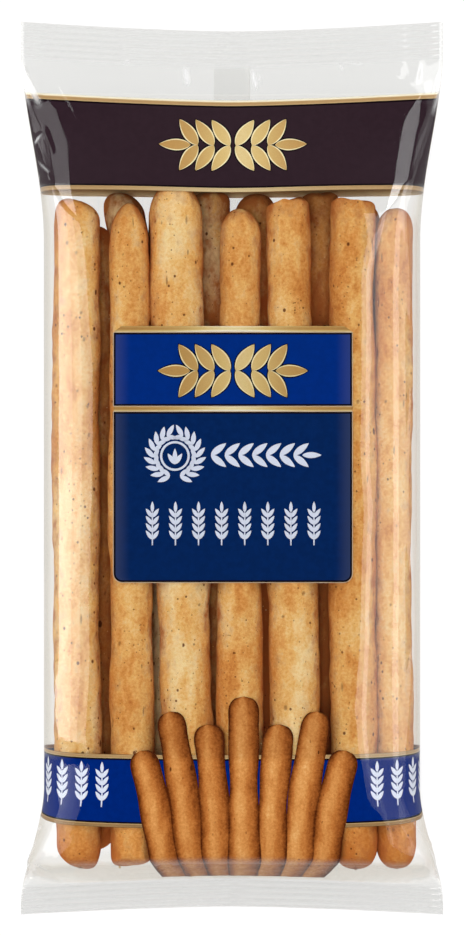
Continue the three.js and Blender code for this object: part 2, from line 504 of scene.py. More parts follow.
def onFilm(q, y, lift=0.0):
    # a point of the film, moved out along the film's normal by lift and by the creases, which fade
    # out towards the seals and the side folds
    q, y = np.broadcast_arrays(np.asarray(q, dtype=float), np.asarray(y, dtype=float))
    stepQ, stepY = 0.004, 0.3  # far enough for a normal that the rounding of numbers can't turn
    around = filmPoint(q + stepQ, y) - filmPoint(q - stepQ, y)
    along = filmPoint(q, y + stepY) - filmPoint(q, y - stepY)
    normal = np.cross(around, along)
    normal = normal / np.maximum(np.linalg.norm(normal, axis=-1, keepdims=True), 1e-9)
    creased = (1 - inSeals(y, 1)) * smoothStep(1.0, 0.955, np.abs(q))
    out = lined(creases, q * girth, y) * creased + lift
    return filmPoint(q, y) + normal * out[..., None]


# the film

film = dict(
    frontColumns=200,
    backColumns=100,
    foldGap=0.003,  # the columns beside each side fold stand this close to it, to keep it sharp
    # where each stretch of rows begins and how many it has: more where the film is crimped
    zones=(
        (bag["bottomEdge"], 42),
        (bottomSealLine, 38),
        (-120, 104),
        (85, 84),
        (topSealLine, 52),
        (bag["topEdge"], 0),
    ),
    clear=rgb(252, 252, 251),
    edge=rgb(236, 233, 226),  # what it lets through where it is seen edge on
    mirror=0.1,
    glancing=0.55,
    gloss=0.05,
    # where along the bag the film shines by another share: the share, where it begins and is full,
    # and where it is last full and ends
    shines=(
        (0.35, bottomSealLine, bottomSealLine + 5, -122, -119),  # below the blue band
        (0.3, 95.2, 96.8, 126.4, 127.4),  # on the dark band
        (0.3, -123, -121, -100, -98),  # on the blue band
        (0.85, bottomSealLine - 0.4, bottomSealLine + 0.2, bottomSealLine + 7, bottomSealLine + 10),
    ),
    sealShine=(1.1, 1.35),  # and in its top and bottom seal
    # how milky it is: in the seals, more on their ridges as a painted highlight, along their lines and
    # in the two corners
    sealMilk=0.08,
    ridgeHighlight=0.15,
    lineMilk=0.1,
    cornerMilk=0.12,
    fullTint=0.45,  # the shine from which its own tint is full
)
frontQ = np.linspace(-1, 1, film["frontColumns"], endpoint=False)
backQ = np.linspace(1, 3, film["backColumns"], endpoint=False)
frontQ[[1, -1]] = -1 + film["foldGap"], 1 - film["foldGap"]
backQ[[1, -1]] = 1 + film["foldGap"], 3 - film["foldGap"]
filmQ = np.concatenate([frontQ, np.where(backQ > 2, backQ - 4, backQ)])
filmA = filmQ * girth  # each column's distance from the centre line on the flat film
zoneRows = [
    np.linspace(low, high, count, endpoint=False)
    for (low, count), (high, _) in zip(film["zones"], film["zones"][1:])
]
filmY = np.append(np.concatenate(zoneRows), bag["topEdge"])


def placesBetween(places, low, high, least=0.1):
    # two ends and the film's own rows or columns between them, so that what is printed on the film
    # bends with it. None of them is nearer to an end than the least distance.
    return np.concatenate([[low], places[(places > low + least) & (places < high - least)], [high]])


def filmShader():
    # thin film: see-through, darker edge on, milky where its milk value says so, and white where that
    # value paints highlights, and a mirror of 0.1 plus 0.55 times the cube of how far it faces away,
    # all times its shine value
    make = Shader("clearFilm")
    ripple = make.noise(make.place((1, 0.45, 1)), 9, detail=1)
    normal = make.bump(ripple, 0.1)
    facing = make.node("ShaderNodeLayerWeight", {"Blend": 0.5, "Normal": normal}).outputs["Facing"]
    mirror = make.maths("MULTIPLY_ADD", make.maths("POWER", facing, 3.0), film["glancing"], film["mirror"])
    mirror = make.maths("MULTIPLY", mirror, make.value("shine"))
    seeThrough = make.blend(make.between(facing, 0.1, 0.75), film["clear"], film["edge"])
    tinted = make.between(make.value("shine"), 0, film["fullTint"])
    seeThrough = make.blend(tinted, (1, 1, 1), seeThrough)
    gloss = make.node("ShaderNodeBsdfGlossy", {"Roughness": film["gloss"], "Normal": normal})
    through = make.node("ShaderNodeBsdfTransparent", {"Color": seeThrough})
    milky = make.node("ShaderNodeBsdfDiffuse", {"Color": (0.9, 0.9, 0.9)})
    return make.finish(make.layered(mirror, make.layered(make.value("milkAndHighlights"), through, milky), gloss))


def shineAlong(y):
    # 1, or the share of the zone that a place along the bag lies in, with smooth steps between them
    shine = 1
    for share, begins, full, lastFull, ends in film["shines"]:
        shine = mix(shine, share, smoothStep(begins, full, y) * smoothStep(ends, lastFull, y))
    inTop, inBottom = film["sealShine"]
    shine = mix(shine, inTop, smoothStep(topSealLine - 0.5, topSealLine + 0.5, y))
    return mix(shine, inBottom, smoothStep(bottomSealLine, bottomSealLine - 0.6, y))


def milkAndHighlightRows():
    # how milky the film is, as a row for each of its places along the bag: the seals, with painted
    # highlights on their ridges, which come and go across the bag, a bell at each seal's line, the
    # painted glints of the front, and the two corners beside the bottom seal
    inside = inSeals(filmY, 0.5)[:, None]
    wave = latticeNoise(np.stack([filmQ * 5, 0 * filmQ, 0 * filmQ], axis=-1), 3)
    # painted highlights along the seals' crimped ridges, stronger in some places across the bag
    ridge = film["ridgeHighlight"] * sealRidges(filmY)[:, None] * np.clip(0.5 + 1.2 * wave, 0, 1)[None, :]
    lines = sum(film["lineMilk"] * bell(filmY - line, 0.4) for line in (topSealLine, bottomSealLine))
    # painted highlights: the glints whiten the front of the film
    white = lined(glints, filmA[None, :], filmY[:, None]) * (np.abs(filmQ) < 1.02)
    corner = film["cornerMilk"] * smoothStep(0.74, 0.92, np.abs(filmQ)) * smoothStep(1.25, 1.1, np.abs(filmQ))
    corners = corner * smoothStep(-117, -127, filmY)[:, None] * (1 - inside)
    return np.clip(corners + (film["sealMilk"] + ridge) * inside + lines[:, None] + white, 0, 1)


def makeFilm(material):
    # the whole film as one closed skin: columns right round it, rows from its bottom to its top,
    # and across each end every back strip meets the two front strips over it
    points = onFilm(filmQ[None, :], filmY[:, None])
    rows, columns = points.shape[:2]
    fold = film["frontColumns"]
    strip = np.arange(1, film["backColumns"] - 1)
    over, under = 2 * strip, columns - strip
    cap = np.stack([over, over + 1, over + 2, under - 1, under], axis=-1)
    sides = np.array([[0, 1, 2, columns - 1], [fold - 2, fold - 1, fold, fold + 1]])
    top = (rows - 1) * columns
    ends = [cap[:, ::-1], sides[:, ::-1], cap + top, sides + top]
    values = {"milkAndHighlights": milkAndHighlightRows(), "shine": np.repeat(shineAlong(filmY), columns)}
    faces = [gridFaces(rows, columns, loop=True), *ends]
    newPiece("clearFilm", points, faces, material, values)


fin = dict(
    thick=0.14,
    across=np.array([0, 0.03, 0.08, 0.15, 0.3, 0.5, 0.7, 0.85, 1.0]),
    gap=0.02,  # between it and the film where they meet
    sink=(0.08, 0.38),  # how much further it hangs at the seals, and what is added where the bag is full
    foldWide=0.08,  # share of its width in which it reaches that
    milkAndHighlights=0.02,
    shine=0.25,
)


def makeFin(material):
    # the film's lengthwise seal, folded flat behind it. One edge meets the film, and the rest
    # hangs just behind it: by more where the sticks hold the film off the table.
    y = filmY[::2]
    x = bag["finHalf"] * (2 * fin["across"] - 1)
    least, more = fin["sink"]
    hang = least + more * (standOff(y) / rise)[:, None] ** 4
    sink = hang * smoothStep(0, fin["foldWide"], fin["across"])[None, :]
    upper = filmHeight(x[None, :], y[:, None], False) - sink - fin["gap"]
    outer = np.stack(np.broadcast_arrays(x[None, :], y[:, None], upper), axis=-1)
    points, faces = thinSheet(outer, outer - np.array([0, 0, fin["thick"]]))
    between = onBothFaces(1 - inSeals(y, 0.5)[:, None], upper.shape)
    values = {"milkAndHighlights": fin["milkAndHighlights"] * between, "shine": fin["shine"] * between}
    newPiece("finSeal", points, [faces], material, values)


print("film")
clearFilm = filmShader()
makeFilm(clearFilm)
makeFin(clearFilm)


# breadsticks

bread = dict(
    # each noise: how far it spreads round a stick, its size along it, and what tells it from others
    lumps=0.42,
    lumpNoise=((1.1, 0.55, 19, 0), (0.65, 0.9, 8, 30)),  # after each one's share
    grain=0.16,
    grainNoise=(2.2, 3.6, 50),
    seam=0.35,  # depth of the crease where the dough was rolled shut
    seamWidth=0.13,  # in radians
    seamNoise=(0.4, 26, 0, 3),
    pit=0.38,
    pits=26,  # on the upper side of each stick
    pitWidth=(0.4, 0.75),
    pitStretch=(1.0, 1.6),
    cracked=0.18,  # share of them that are cracks
    crackWidth=0.42,
    crackLength=(1.2, 2.4),
    bend=0.5,
    bendLength=46,
    swell=0.035,  # share by which the width varies along a stick
    slantLength=6,
    tornLength=3,
    hookLength=12,
    capRows=16,
    clearance=0.42,  # from the film
    sideGap=0.6,  # between the outer sticks and the side folds
    rounding=(0.2, 0.3),  # of those two limits, across and in height
    # what browns a stick, with the length it does that over: its foot, partly with painted shade, both
    # its rims, and the painted shade of its sides
    footToastAndShade=(0.45, 17),
    footRimToast=(0.3, 3),
    topRimToast=(0.7, 6),
    paintedSideShade=0.8,
    deepGapShadeFrom=(12, 50),  # of its top, over which browned brings in a back stick's deeper painted shade
    poleToast=0.95,
    footToneAndShade=(0.26, 22),  # how much deeper the foot's tone is: partly browning, partly painted shade
    tones=(
        (0.2, rgb(196, 118, 52)),
        (0.4, rgb(224, 156, 82)),
        (0.58, rgb(241, 190, 116)),
        (0.8, rgb(252, 222, 166)),
    ),
    toastShadeColour=rgb(184, 106, 52),
    # colour of the dents: painted shade in their hollows
    pitted=rgb(126, 70, 32),
    # pits made in the shader, their darkness painted shade in the hollows: size of the cells, their
    # squash along the stick, share of them with a pit, its radius, its strength and its colour
    specks=(
        (1.6, 0.9, 0.45, 0.3, 0.7, rgb(150, 88, 42)),
        (2.8, 0.85, 0.5, 0.44, 0.9, rgb(124, 68, 30)),
        (4.8, 0.8, 0.45, 0.62, 0.9, rgb(108, 54, 22)),
        (8.0, 0.6, 0.35, 0.8, 0.9, rgb(92, 44, 16)),
    ),
)

# x and width are at the top end, in the middle and at the foot; top and foot are where it ends.
# Each cap gives its length, its bluntness, 2 for round and 4 for square, and how far its right
# side reaches beyond its middle. baked paints shade over all of it, and browned over all but its
# top: the deeper, redder shade of a back stick between the front ones.
roundCap = (8, 2.3, 0)
plainStick = dict(gapShade=0, deepGapShade=0, torn=0.3, hook=0, topCap=roundCap, footCap=roundCap)
frontSticks = [
    dict(tone=0.6, x=(-53.4, -53.6, -52.6), width=(15.6, 16.4, 15.4), top=92.3, foot=-138.0,
         z=22.6, deep=14.4, topCap=(8, 2.6, -2.2), footCap=(9, 2.4, -2.4), torn=0.4),
    dict(tone=0.57, x=(-35.2, -35.0, -34.0), width=(13.6, 14.6, 15.2), top=91.2, foot=-136.7,
         z=24.0, deep=14.6, topCap=(14, 1.9, 0), footCap=(5, 3.4, 1.2), torn=0.6),
    dict(tone=0.63, x=(-19.6, -17.6, -13.6), width=(17.4, 18.0, 16.6), top=98.2, foot=-137.6,
         z=24.0, deep=15.0, topCap=(12, 2.1, 0), footCap=(9, 2.4, 0), torn=0.5),
    dict(tone=0.52, x=(3.0, 2.6, 3.0), width=(13.8, 15.6, 16.4), top=89.2, foot=-137.0,
         z=24.0, deep=14.8, topCap=(9, 2.0, -0.8), footCap=(9, 2.2, 0), torn=0.5),
    dict(tone=0.56, x=(19.2, 21.0, 21.6), width=(14.4, 16.8, 16.8), top=92.2, foot=-135.3,
         z=24.0, deep=14.8, topCap=(2.8, 4.4, 0.9), footCap=(7, 2.8, 0), torn=1.8),
    dict(tone=0.49, x=(41.2, 41.3, 42.4), width=(15.4, 16.4, 15.2), top=92.2, foot=-138.4,
         z=24.0, deep=14.8, topCap=(2.8, 4.6, -0.8), footCap=(9, 2.3, 0), torn=1.8),
    dict(tone=0.56, x=(56.1, 55.5, 57.0), width=(13.2, 12.8, 13.8), top=89.6, foot=-138.4,
         z=21.4, deep=13.4, topCap=(9, 2.2, 0.4), footCap=(9, 2.1, 0), torn=0.5),
]
# The back sticks lie in shade under the front ones: some of their tones are raised as painted light on their
# tops, and baked and browned paint their deeper, redder shade.
backSticks = [
    dict(tone=0.5, gapShade=0.5, x=(-48.6, -48.4, -48.4), width=(14.0, 14.8, 14.8), top=84.6,
         foot=-133.5, z=8.8, deep=14.0, topCap=(8, 2.3, 0.6), footCap=(9, 2.3, 0)),
    dict(tone=0.9, gapShade=0.25, x=(-35.2, -35.2, -35.2), width=(14.8, 13.2, 13.2), top=96.2,
         foot=-134.8, z=7.9, deep=14.2, hook=-4.6),
    dict(tone=0.85, gapShade=0.2, x=(-22.0, -22.0, -22.0), width=(14.6, 15.0, 15.0), top=94.0,
         foot=-136.0, z=7.9, deep=14.2),
    dict(tone=0.7, gapShade=0.4, deepGapShade=0.55, x=(-7.6, -7.6, -7.4), width=(14.0, 14.6, 14.2), top=96.0,
         foot=-136.2, z=8.2, deep=13.8, topCap=(4, 3.4, 0.3), torn=1.0),
    dict(tone=0.5, gapShade=0.5, deepGapShade=0.6, x=(8.4, 8.0, 8.0), width=(14.0, 15.6, 15.6), top=95.8,
         foot=-135.6, z=8.2, deep=13.8, topCap=(8, 2.3, 0.2), torn=0.6),
    dict(tone=0.5, gapShade=0.5, deepGapShade=0.6, x=(30.6, 30.0, 29.8), width=(14.4, 14.6, 14.2), top=96.0,
         foot=-134.6, z=7.9, deep=14.2, topCap=(5, 3.0, 0.8), torn=1.2),
    dict(tone=0.5, gapShade=0.5, deepGapShade=0.4, x=(44.8, 44.6, 44.6), width=(13.8, 13.8, 13.8), top=92.8,
         foot=-136.4, z=7.9, deep=14.0),
    dict(tone=0.5, gapShade=0.5, x=(56.4, 56.4, 56.2), width=(12.2, 12.2, 12.2), top=90.0,
         foot=-136.8, z=8.6, deep=12.8),
]


def pitted(make, colour, height, kinds):
    # dark pits, in loose clusters: the middles of some of the cells of a Voronoi pattern, for each
    # kind in turn. On the crust their darkness is painted shade in the hollows, and on the printed fan
    # it is print. Also returns the height, less 0.6 in every pit.
    cluster = make.between(make.noise(make.place((1, 0.5, 1)), 11, detail=1), 0.4, 0.6, 0.3, 1.7)
    for size, squash, present, radius, depth, dark in kinds:
        inputs = {"Vector": make.place((1, squash, 1)), "Scale": 1 / size}
        cells = make.node("ShaderNodeTexVoronoi", inputs)
        parts = make.node("ShaderNodeSeparateColor", {"Color": cells.outputs["Color"]})
        reach = make.maths("MULTIPLY", make.between(parts.outputs[1], 0, 1, 0.5, 1.0), radius / size)
        inside = make.between(make.maths("DIVIDE", cells.outputs["Distance"], reach), 0.7, 1.1, 1.0, 0.0)
        chosen = make.maths("LESS_THAN", parts.outputs[0], make.maths("MULTIPLY", cluster, present))
        pit = make.maths("MULTIPLY", inside, chosen)
        colour = make.blend(make.maths("MULTIPLY", pit, depth), colour, dark)
        height = make.maths("MULTIPLY_ADD", pit, -0.6, height)
    return colour, height


def crust():
    # the crust: its tone runs from orange to pale, by its own value and by soft patches, streaks
    # along the stick, mottling and flour, and it browns with its toast value, which also paints shade
    # on the sides and feet of the sticks and on the back ones. Pits are dark with painted shade.
    make = Shader("toastedCrust")
    patches = make.noise(make.place((1, 0.35, 1)), 14, detail=2, warp=0.4)
    streaks = make.noise(make.place((1, 0.2, 1)), 2.6, detail=3)
    mottle = make.noise(make.place((1, 0.6, 1)), 3.6, detail=4, roughness=0.6)
    flour = make.noise(make.place(), 1.0, detail=3, roughness=0.65)
    tone = make.value("tone")
    for pattern, weight in ((patches, 0.9), (streaks, 0.3), (mottle, 0.65), (flour, 0.5)):
        tone = make.varied(tone, pattern, weight)
    # the toast value browns the crust: partly real browning, partly painted shade
    toastAndShade = make.between(make.varied(make.value("toastAndShade"), mottle, 2.2), 0.1, 1.2)
    colour = make.blend(toastAndShade, make.ramp(tone, bread["tones"]), bread["toastShadeColour"])
    colour, height = pitted(make, colour, flour, bread["specks"])
    # painted shade in the dents of the stick's own shape
    dented = make.between(make.value("pit"), 0.3, 0.8, 0.0, 0.6)
    colour = make.blend(dented, colour, bread["pitted"])
    normal = make.bump(height, 0.3, below=make.bump(mottle, 0.5))
    body = make.matte(colour, 0.8, 0.03, normal)
    body.inputs["Subsurface Weight"].default_value = 0.15
    body.inputs["Subsurface Radius"].default_value = (1.0, 0.5, 0.2)
    body.inputs["Subsurface Scale"].default_value = 1.5 * mm
    return make.finish(body)


def dents(random, turn, along, length, radius):
    # pits and short cracks in a stick's upper side, each an oval bell: 1 in the middle of one
    total = 0
    for _ in range(bread["pits"]):
        atTurn = random.uniform(0.15, np.pi - 0.15)
        place = random.uniform(6, length - 6)
        crack = random.uniform() < bread["cracked"]
        wide = bread["crackWidth"] if crack else random.uniform(*bread["pitWidth"])
        stretched = random.uniform(*bread["crackLength" if crack else "pitStretch"])
        long = stretched if crack else wide * stretched
        aside = turnFrom(turn, atTurn) * radius
        total = total + np.exp(-((aside / wide) ** 2) - ((along - place) / long) ** 2)
    return np.minimum(total, 1)


def outline(stick, bodyRows):
    # places along a stick from its foot, as a column, and its share of the full radius there. An
    # end is a quarter of the superellipse of power n, its bluntness: for an angle f it is
    # sin(f)^(2/n) of the full radius at 1 - cos(f)^(2/n) of the cap's length.
    length = stick["top"] - stick["foot"]
    footLong, footBlunt, _ = stick["footCap"]
    topLong, topBlunt, _ = stick["topCap"]
    angle = np.linspace(0, np.pi / 2, bread["capRows"] + 1)[1:]
    footPlaces = footLong * (1 - np.cos(angle) ** (2 / footBlunt))
    topPlaces = topLong * (1 - np.cos(angle) ** (2 / topBlunt))
    body = np.linspace(footLong, length - topLong, bodyRows)[1:-1]
    along = np.concatenate([footPlaces, body, length - topPlaces[::-1]])[:, None]
    closing = (1 - (1 - np.clip(along / footLong, 0, 1)) ** footBlunt) ** (1 / footBlunt)
    fromTop = np.clip((length - along) / topLong, 0, 1)
    return length, along, closing * (1 - (1 - fromTop) ** topBlunt) ** (1 / topBlunt)


def breadstick(stick, seed, around, bodyRows):
    # an oval tube along its outline. Noise makes it lumpy, grainy and bent, and its ends ragged
    # where it is torn; pits and a seam along it are sunk in.
    random = np.random.RandomState(seed)
    length, along, closing = outline(stick, bodyRows)
    fromTop = length - along
    turn = np.linspace(0, 2 * np.pi, around, endpoint=False)[None, :]
    flat = 0 * (along + turn)  # nought on the whole grid, to give a row or column its shape
    y = stick["foot"] + along + flat
    shift = seed * 7.31  # another place in the noise for each stick

    def noise(scale, size, more, start=0):
        # round the stick it repeats, because its place there is on a circle
        place = [np.cos(turn) * scale + shift + flat, np.sin(turn) * scale + flat, y / size + start]
        return latticeNoise(np.stack(place, axis=-1), seed + more)

    lumps = bread["lumps"] * sum(share * noise(*place) for share, *place in bread["lumpNoise"])
    grain = bread["grain"] * noise(*bread["grainNoise"])
    seamTurn = random.uniform(0, 2 * np.pi) + 0.5 * np.sin(y / random.uniform(40, 70) + seed)
    seamOpen = smoothStep(-0.1, 0.5, noise(*bread["seamNoise"]))
    seam = -bread["seam"] * bell(turnFrom(turn, seamTurn), bread["seamWidth"]) * seamOpen
    pit = dents(random, turn, along, length, stick["deep"] / 2)
    rough = (lumps + grain + seam - bread["pit"] * pit) / 8
    radius = 1 + rough * np.clip(closing * 1.4, 0, 1)

    wander = np.stack([flat + 0.5, flat + shift, y / bread["bendLength"]], axis=-1)
    hook = faded((stick["hook"], bread["hookLength"]), fromTop)
    bend = bread["bend"] * latticeNoise(wander, seed + 9) + hook
    width = throughThree(stick["width"], along / length)
    wide = width / 2 * (1 + bread["swell"] * latticeNoise(wander * 1.7, seed + 20)[:, :1])
    x = throughThree(stick["x"], along / length) + bend + wide * closing * radius * np.cos(turn)
    z = stick["z"] + stick["deep"] / 2 * closing * radius * np.sin(turn)
    footSlant = faded((stick["footCap"][2], bread["slantLength"]), along)
    slant = footSlant + faded((stick["topCap"][2], bread["slantLength"]), fromTop)
    onRim = np.stack([1.7 * np.cos(turn) + shift, 1.7 * np.sin(turn), 0 * turn], axis=-1)
    atRims = np.exp(-fromTop / bread["tornLength"]) - np.exp(-along / bread["tornLength"])
    torn = stick["torn"] * atRims
    y = y + (slant * np.cos(turn) + torn * latticeNoise(onRim, seed + 60)) * closing
    x, z = settled(x, y, z)

    poleX = throughThree(stick["x"], np.array([0, 1])) + bend[[0, -1], 0]
    poles = np.stack([poleX, [stick["foot"], stick["top"]], np.full(2, stick["z"])], axis=-1)
    points = np.concatenate([np.stack([x, y, z], axis=-1).reshape(-1, 3), poles])
    # the foot browns, and is darkened further with painted shade
    foot = belled(bread["footToastAndShade"], along) + faded(bread["footRimToast"], along)
    # painted shade of a back stick, deeper below its top
    gapShade = stick["gapShade"] + stick["deepGapShade"] * smoothStep(*bread["deepGapShadeFrom"], fromTop)
    # painted shade: darker and redder towards each stick's left and right sides, where less light falls
    sides = bread["paintedSideShade"] * np.abs(np.cos(turn)) ** 2.6
    toastAndShade = foot + faded(bread["topRimToast"], fromTop) + sides + gapShade + flat
    tone = stick["tone"] - belled(bread["footToneAndShade"], along) + flat
    values = {
        "toastAndShade": np.append(toastAndShade.ravel(), [bread["poleToast"]] * 2),
        "tone": np.append(tone.ravel(), tone[[0, -1], 0]),
        "pit": np.append(pit.ravel(), [0, 0]),
    }
    return points, closedTube(len(along), around), values


def settled(x, y, z):
    # the film holds each stick: no point stands closer to either face of it than the clearance, and
    # where one would, it is moved in by a rounded minimum
    half = halfWidth(y) - bread["sideGap"]
    across, inHeight = bread["rounding"]
    x = np.sign(x) * smoothMin(np.abs(x), half, across)
    highest = filmHeight(x, y, True) - bread["clearance"]
    lowest = filmHeight(x, y, False) + bread["clearance"]
    middle = (highest + lowest) / 2
    z = np.where(z > middle, smoothMin(z, highest, inHeight), -smoothMin(-z, -lowest, inHeight))
    return x, z


print("breadsticks")
crustShader = crust()
for name, sticks, firstSeed, around, bodyRows in (
    ("frontStick", frontSticks, 11, 94, 248),
    ("backStick", backSticks, 31, 54, 140),
):
    for number, stick in enumerate(sticks):
        points, faces, values = breadstick({**plainStick, **stick}, firstSeed + number, around, bodyRows)
        newPiece(f"{name}{number + 1}", points, faces, crustShader, values)


# crumbs

crumbs = dict(
    loose=16,
    looseRadius=(0.2, 0.45),
    looseX=(-58, 60),
    looseY=(-140, -134.5),
    clinging=70,
    clingingRadius=(0.08, 0.17),
    clingingAside=(-1.6, 1.6),  # of a gap's middle
    clingingY=(-96, 88),
    offBack=0.1,
    offFront=0.25,
    rough=0.3,
    rings=5,
    around=8,
    tone=0.62,
)


def makeCrumbs(material):
    # each crumb is a small lumpy ball: loose ones lie at the foot of the bag, and finer ones cling
    # to the inside of its front, over the gaps between the sticks
    random = np.random.RandomState(5)
    loose, clinging = crumbs["loose"], crumbs["clinging"]
    looseRadius = random.uniform(*crumbs["looseRadius"], loose)
    radius = np.append(looseRadius, random.uniform(*crumbs["clingingRadius"], clinging))
    gaps = random.choice(bag["frontGaps"], clinging) + random.uniform(*crumbs["clingingAside"], clinging)
    x = np.append(random.uniform(*crumbs["looseX"], loose), gaps)
    looseY = random.uniform(*crumbs["looseY"], loose)
    y = np.append(looseY, random.uniform(*crumbs["clingingY"], clinging))
    onBack = filmHeight(x, y, False) + radius + crumbs["offBack"]
    underFront = filmHeight(x, y, True) - radius - crumbs["offFront"]
    z = np.where(np.arange(loose + clinging) < loose, onBack, underFront)
    lean = np.linspace(0, np.pi, crumbs["rings"] + 2)[1:-1][:, None]
    turn = np.linspace(0, 2 * np.pi, crumbs["around"], endpoint=False)[None, :]
    sides = (np.sin(lean) * np.cos(turn), np.sin(lean) * np.sin(turn), np.cos(lean) + 0 * turn)
    ball = np.concatenate([np.stack(sides, axis=-1).reshape(-1, 3), [[0, 0, 1], [0, 0, -1]]])
    rough = 1 + crumbs["rough"] * random.uniform(-1, 1, (len(radius), len(ball), 1))
    points = np.stack([x, y, z], axis=-1)[:, None] + ball[None] * radius[:, None, None] * rough
    starts = np.arange(len(radius))[:, None, None] * len(ball)
    tube = closedTube(crumbs["rings"], crumbs["around"])
    faces = [(block[None] + starts).reshape(-1, block.shape[1]) for block in tube]
    none = np.zeros(points.shape[:2])
    values = {"toastAndShade": none, "tone": none + crumbs["tone"], "pit": none}
    newPiece("crumbs", points, faces, material, values)


print("crumbs")
makeCrumbs(crustShader)


# print: shapes on the flat film, as grids of (distance round the bag, place along it). Each is a
# thin sheet just under the film, and each layer of them lies one step further in.

ink = dict(under=0.03, step=0.02, thick=0.012)


def sheet(grid, layer, values, loop=False):
    # a grid laid under the film, at its layer's depth
    lift = -ink["under"] - ink["step"] * layer
    around, along = grid[..., 0] / girth, grid[..., 1]
    inner = onFilm(around, along, lift - ink["thick"])
    points, faces = thinSheet(onFilm(around, along, lift), inner, loop)
    return points, faces, {key: onBothFaces(value, around.shape) for key, value in values.items()}


def printed(name, sheets, material):
    # many sheets as one piece
    starts = np.cumsum([0] + [len(points) for points, _, _ in sheets])
    points = np.concatenate([points for points, _, _ in sheets])
    faces = [faces + start for (_, faces, _), start in zip(sheets, starts)]
    values = {key: np.concatenate([spread[key] for _, _, spread in sheets]) for key in sheets[0][2]}
    newPiece(name, points, faces, material, values)


def ribbon(path, half, columns):
    # a strip along a path: each point moves sideways by half the width there times the column,
    # which is -1 on the left edge and 1 on the right
    run = np.gradient(path, axis=0)
    run = run / np.linalg.norm(run, axis=-1, keepdims=True)
    right = np.stack([run[:, 1], -run[:, 0]], axis=-1)
    return path[:, None] + right[:, None] * (half[:, None] * columns[None, :])[..., None]


def straight(x, y, angle, length, count):
    # a straight path from (x, y), with the angle in degrees from the bag's own length
    t = np.linspace(0, length, count)
    return np.stack([x + t * np.sin(np.radians(angle)), y + t * np.cos(np.radians(angle))], axis=-1)


rimColumns = np.array([-1, -0.86, -0.74, -0.4, 0, 0.4, 0.74, 0.86, 1.0])  # close at both edges


def leaf(x, y, angle, length, width, grow=0.0, count=17, columns=rimColumns):
    # a pointed oval: its half width follows sin(pi t^0.85)^0.8. grow widens it on every side.
    startX = x - grow * np.sin(np.radians(angle))
    startY = y - grow * np.cos(np.radians(angle))
    path = straight(startX, startY, angle, length + 2 * grow, count)
    swell = np.sin(np.pi * np.linspace(0, 1, count) ** 0.85).clip(0.004, 1) ** 0.8
    return ribbon(path, (width / 2 + grow) * swell, columns)


def ring(x, y, radius, stroke):
    # a circle as a closed strip: a grid of its outer edge, middle and inner edge
    turn = np.linspace(0, 2 * np.pi, 48, endpoint=False)
    out = np.stack([np.cos(turn), np.sin(turn)], axis=-1)
    return np.stack([out * (radius + stroke * share) for share in (0.5, 0, -0.5)]) + np.array([x, y])


def inkShader(name, base, uneven):
    # printed colour with a faint uneven density, and paler where its haze value paints a reflection over it
    make = Shader(name)
    density = make.noise(make.place(), 2.2, detail=4, roughness=0.6)
    dark = tuple(0.55 * part for part in base)
    pale = tuple(0.8 * part + 0.035 for part in base)
    shade = make.blend(make.between(density, 0.3, 0.7, 0.0, uneven), base, dark)
    colour = make.blend(make.value("paintedVeil"), shade, pale)
    return make.finish(make.matte(colour, 0.5, 0.0, make.bump(density, 0.02)))


def goldShader(name, *golds):
    # gold ink: its sheen value runs from a dark brown edge over old gold to a pale glint
    make = Shader(name)
    speck = make.noise(make.place(), 0.7, detail=2)
    sheen = make.varied(make.value("sheen"), speck, 0.08)
    colour = make.ramp(sheen, list(zip((0.0, 0.3, 0.62, 0.85, 1.0), golds)))
    return make.finish(make.matte(colour, 0.4, 0.2, make.bump(speck, 0.01)))


# bands that run right round the bag

bands = dict(
    dark=(96.5, 125.15),
    blue=(-121.55, -99.4),
    # each gold line's width, and its sheen from the band's side outwards
    lines=(
        (1.5, (0.34, 0.26, 0.26, 0.3, 0.36, 0.12)),
        (2.1, (0.42, 0.34, 0.26, 0.24, 0.28, 0.9, 1.0, 0.95)),
        (1.4, (0.6, 0.2, 0.1, 0.12, 0.16, 0.05)),
        (1.45, (0.75, 0.36, 0.28, 0.3, 0.36, 0.1)),
    ),
    overlap=0.05,  # how far each gold line reaches over its band
    edge=0.55,  # width of the dark line inside each of them
    darkFlare=1.3,  # how much further down the dark band's lower edge lies on the folds
    darkSag=0.55,  # and in the middle of the front, where its line is also brighter
    middleGlow=0.3,
    sagWidth=27,
    backLift=1.0,  # on the back that line begins this much further up and is wider
    backGlow=(-0.3, 0.55),  # and has this added to its sheen at its two sides
    blueRise=(1.9, 4.4),  # how much further up the blue band's upper and lower edge lie on the folds
    bluePower=(3, 2.5),
    darkInk=(rgb(50, 35, 43), 0.25),  # each ink's colour, and how uneven it is
    blueInk=(rgb(0, 39, 124), 0.3),
    lineInk=(rgb(22, 14, 18), 0.2),
    golds=(rgb(112, 82, 48), rgb(186, 150, 100), rgb(218, 196, 150), rgb(240, 226, 190), rgb(255, 248, 228)),
)
behind = np.abs(filmQ) > 1
middleShare = bell(filmA, bands["sagWidth"])


def edgePlace(y):
    # where a line of one of the bands runs, for all columns of the film: by powers of g, 0 on the
    # centre lines and 1 on the side folds, it rises or falls, the more the nearer its own edge
    g = np.where(np.abs(filmQ) <= 1, np.abs(filmQ), 2 - np.abs(filmQ))
    if y < 0:
        low, high = bands["blue"]
        upper, lower = (amount * g**power for amount, power in zip(bands["blueRise"], bands["bluePower"]))
        return y + mix(upper, lower, (high - y) / (high - low))
    low, high = bands["dark"]
    nearLower = np.clip((high - y) / (high - low), 0, 1.1)
    lift = np.interp(y, (low - 1.5, low, low + 6, high), (-0.15, bands["backLift"], 0, 0))
    return y - (bands["darkFlare"] * g**2 + bands["darkSag"] * middleShare) * nearLower + lift * behind


